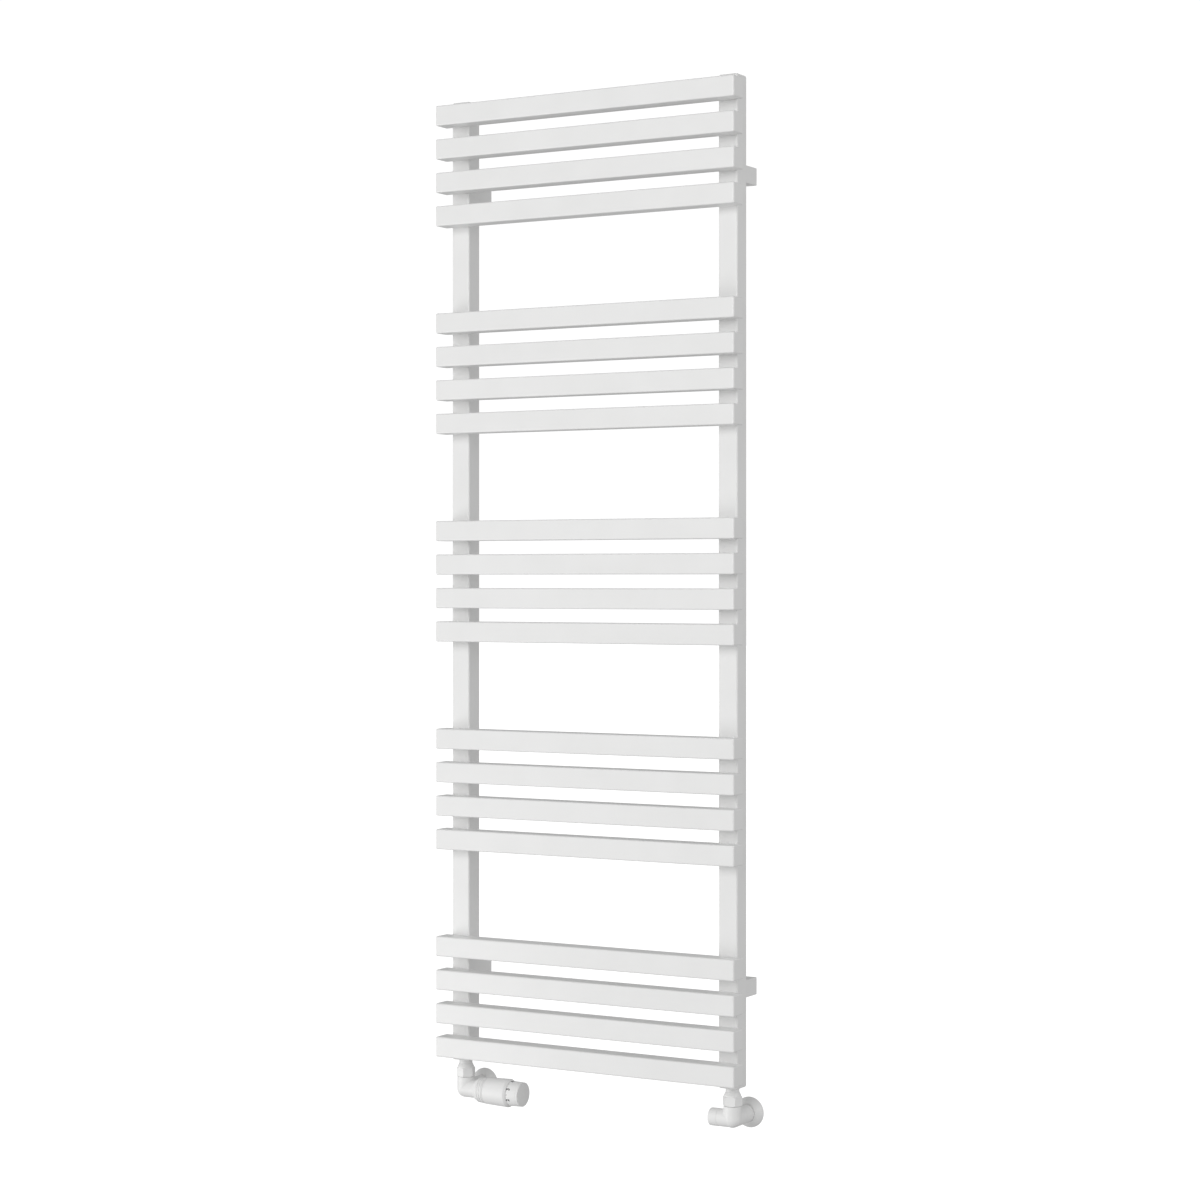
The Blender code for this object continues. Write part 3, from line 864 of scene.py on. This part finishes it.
def dial_digit(text, angle):
    """A digit as a thin plate, bent round the dial with its top towards the valve."""
    letters = bpy.data.curves.new("digit", "FONT")
    letters.body = text
    letters.size = DIGIT_HEIGHT / DIGIT_SHARE * MM
    letters.align_x = "CENTER"
    letters.extrude = PRINT_THICKNESS * MM
    letters.offset = DIGIT_STROKE * MM
    flat = bpy.data.objects.new("digit", letters)
    bpy.context.scene.collection.objects.link(flat)
    bpy.context.view_layer.update()
    mesh = bpy.data.meshes.new_from_object(flat.evaluated_get(bpy.context.evaluated_depsgraph_get()))
    bpy.data.objects.remove(flat)
    shape = bmesh.new()
    shape.from_mesh(mesh)
    bmesh.ops.remove_doubles(shape, verts=shape.verts, dist=0.001 * MM)
    for strip in np.arange(-2.5, 2.6, BEND_STRIP) * MM:
        every = shape.verts[:] + shape.edges[:] + shape.faces[:]
        bmesh.ops.bisect_plane(shape, geom=every, plane_co=(strip, 0, 0), plane_no=(1, 0, 0), dist=1e-7)
    shape.to_mesh(mesh)
    shape.free()
    flat_points = np.array([vertex.co for vertex in mesh.vertices])
    along = (MARKS_START + DIGIT_HEIGHT) * MM - flat_points[:, 1:2]
    radius = dial_radius(along[:, 0] / MM) * MM + flat_points[:, 2]
    turned = radians(angle) + flat_points[:, 0] / radius
    around = -np.cos(turned)[:, None] * BACK + np.sin(turned)[:, None] * UP
    points = np.array(trv_centre) + along * RIGHT + radius[:, None] * around
    mesh.vertices.foreach_set("co", points.ravel())
    mesh.update()
    return finish_mesh("digit", mesh)


def dial_dot(angle, wide, distance):
    """Small round plate on the dial, half way between two digits."""
    turned = radians(angle)
    outward = -cos(turned) * BACK + sin(turned) * UP
    middle = np.array(trv_centre) + distance * MM * RIGHT
    top = dial_radius(distance) + 0.05
    bottom = top - 0.3
    outline = [(0, top, 0), (wide, top, 0), (wide, bottom, 0), (0, bottom, 0)]
    return turn("dot", outline, middle, outward, 24)


marks = []
for place, text in enumerate("12345", start=-2):
    marks.append(dial_digit(text, FIRST_MARK + place * MARK_PITCH))
for place in range(-3, 3):
    angle = FIRST_MARK + (place + 0.5) * MARK_PITCH
    marks.append(dial_dot(angle, DOT_RADIUS, MARKS_START + DOT_INSET))
for place, text in ((-3, "*"), (3, "0")):
    marks.append(dial_digit(text, FIRST_MARK + place * MARK_PITCH))
dress(join_pieces("dial_marks", marks), black_print, "dial", "white_plastic")


# ---- Lockshield cap and screw ----
# A plain white cap pulls off the neck. Under it a brass screw with a hexagon socket moves the disc.
cap_outline = [
    (0, 34.5, 0), (12.7, 34.5, 2.2), (12.7, 20.85, 0.15), (9.8, 20.85, 0), (9.8, 31.5, 0), (0, 31.5, 0),
]
lock_cap = turn("lock_cap_moulded", cap_outline, lock_centre, -RIGHT, 128)
dress(lock_cap, moulded_white, "lock_cap", "white_plastic", "lock_cap")
screw_outline = [
    (0, 28.5, 0), (3.5, 28.5, 0.4), (3.5, 21, 0), (7, 21, 0.3), (7, 19, 0.3), (2.5, 19, 0),
    (2.5, 11.3, 0.5), (0, 11.3, 0),
]
lock_screw = turn("lock_screw_turned", screw_outline, lock_centre, -RIGHT)
lock_key = hexagon("key", 4, 25, 29, lock_centre, -RIGHT, chamfer=KEY_CHAMFER)
dress(cut(lock_screw, lock_key), turned_brass, "lock_spindle", "brass", "lock_spindle")


# ---- Pieces inside ----
# The working parts that the shells hide keep their made shapes, and take their metal or plastic.
# Only the return spring is wound anew.
def aluminium():
    """Drawn capsule: fine lines round it and an even dull shine."""
    metal = Finish("drawn_aluminium", metallic=1.0)
    lines = metal.noise(0.3 * MM, 2.0, (6, 1, 1))
    metal.colour_between(lines, (0.70, 0.70, 0.71), (0.80, 0.80, 0.81))
    metal.roughness(0.28 + 0.14 * lines)
    metal.bump(lines, 0.01 * MM)
    return metal.material


inside = {
    "head_carrier": moulded_white,
    "head_sensor": aluminium(),
    "head_plunger": turned_brass,
    "trv_insert": turned_brass,
    "trv_gland": turned_brass,
    "trv_spindle": plain_steel,
    "lock_disc": turned_brass,
}
for node, material in inside.items():
    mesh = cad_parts[node].data
    mesh.materials.clear()
    mesh.materials.append(material)


COIL_STEPS = 40
WIRE_SIDES = 12


def coil(name, start, end, radius, wire, turns):
    """Round wire wound evenly round the thermostatic valve's axis, in mm from its centre."""
    share = np.linspace(0, 1, COIL_STEPS * turns)[:, None]
    angle = 2 * pi * turns * share
    outward = np.cos(angle) * BACK + np.sin(angle) * UP
    along = (start + (end - start) * share) * MM * RIGHT
    line = np.array(trv_centre) + along + radius * MM * outward
    section = np.linspace(0, 2 * pi, WIRE_SIDES, endpoint=False)[None, :, None]
    rings = line[:, None] + wire * MM * (np.cos(section) * outward[:, None] + np.sin(section) * RIGHT)
    first, last = (np.repeat(line[[place], None], WIRE_SIDES, axis=1) for place in (0, -1))
    return skin(name, np.vstack([first, rings, last]))


spring = coil("trv_coil", 14.8, 20.7, 3.5, 0.4, 4)
dress(spring, plain_steel, "radiator", "steel", "trv_spring")
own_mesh(spring)


# ---- Floor ----
# Plain white studio floor, a hand's width below the valves. It glows a little, as paper lit from
# all round does, and it throws no light of its own on the radiator.
FLOOR_GLOW = 1.05

floor_height = built_box[0][2] - FLOOR_DROP
half = FLOOR_SIZE / 2
corners = [(-half, -half), (half, -half), (half, half), (-half, half)]
floor_mesh = bpy.data.meshes.new("floor")
floor_mesh.from_pydata([(x, y, floor_height) for x, y in corners], [], [(0, 1, 2, 3)])
floor = bpy.data.objects.new("floor", floor_mesh)
bpy.context.scene.collection.objects.link(floor)
floor.visible_diffuse = False
floor.visible_glossy = False
floor.visible_shadow = False
paper = Finish("white_paper")
paper.colour_between(paper.noise(0.8, 3.0), (0.18, 0.18, 0.18), (0.2, 0.2, 0.2))
paper.roughness(0.9)
paper.shader.inputs["Emission Color"].default_value = (1, 1, 1, 1)
paper.shader.inputs["Emission Strength"].default_value = FLOOR_GLOW
floor_mesh.materials.append(paper.material)
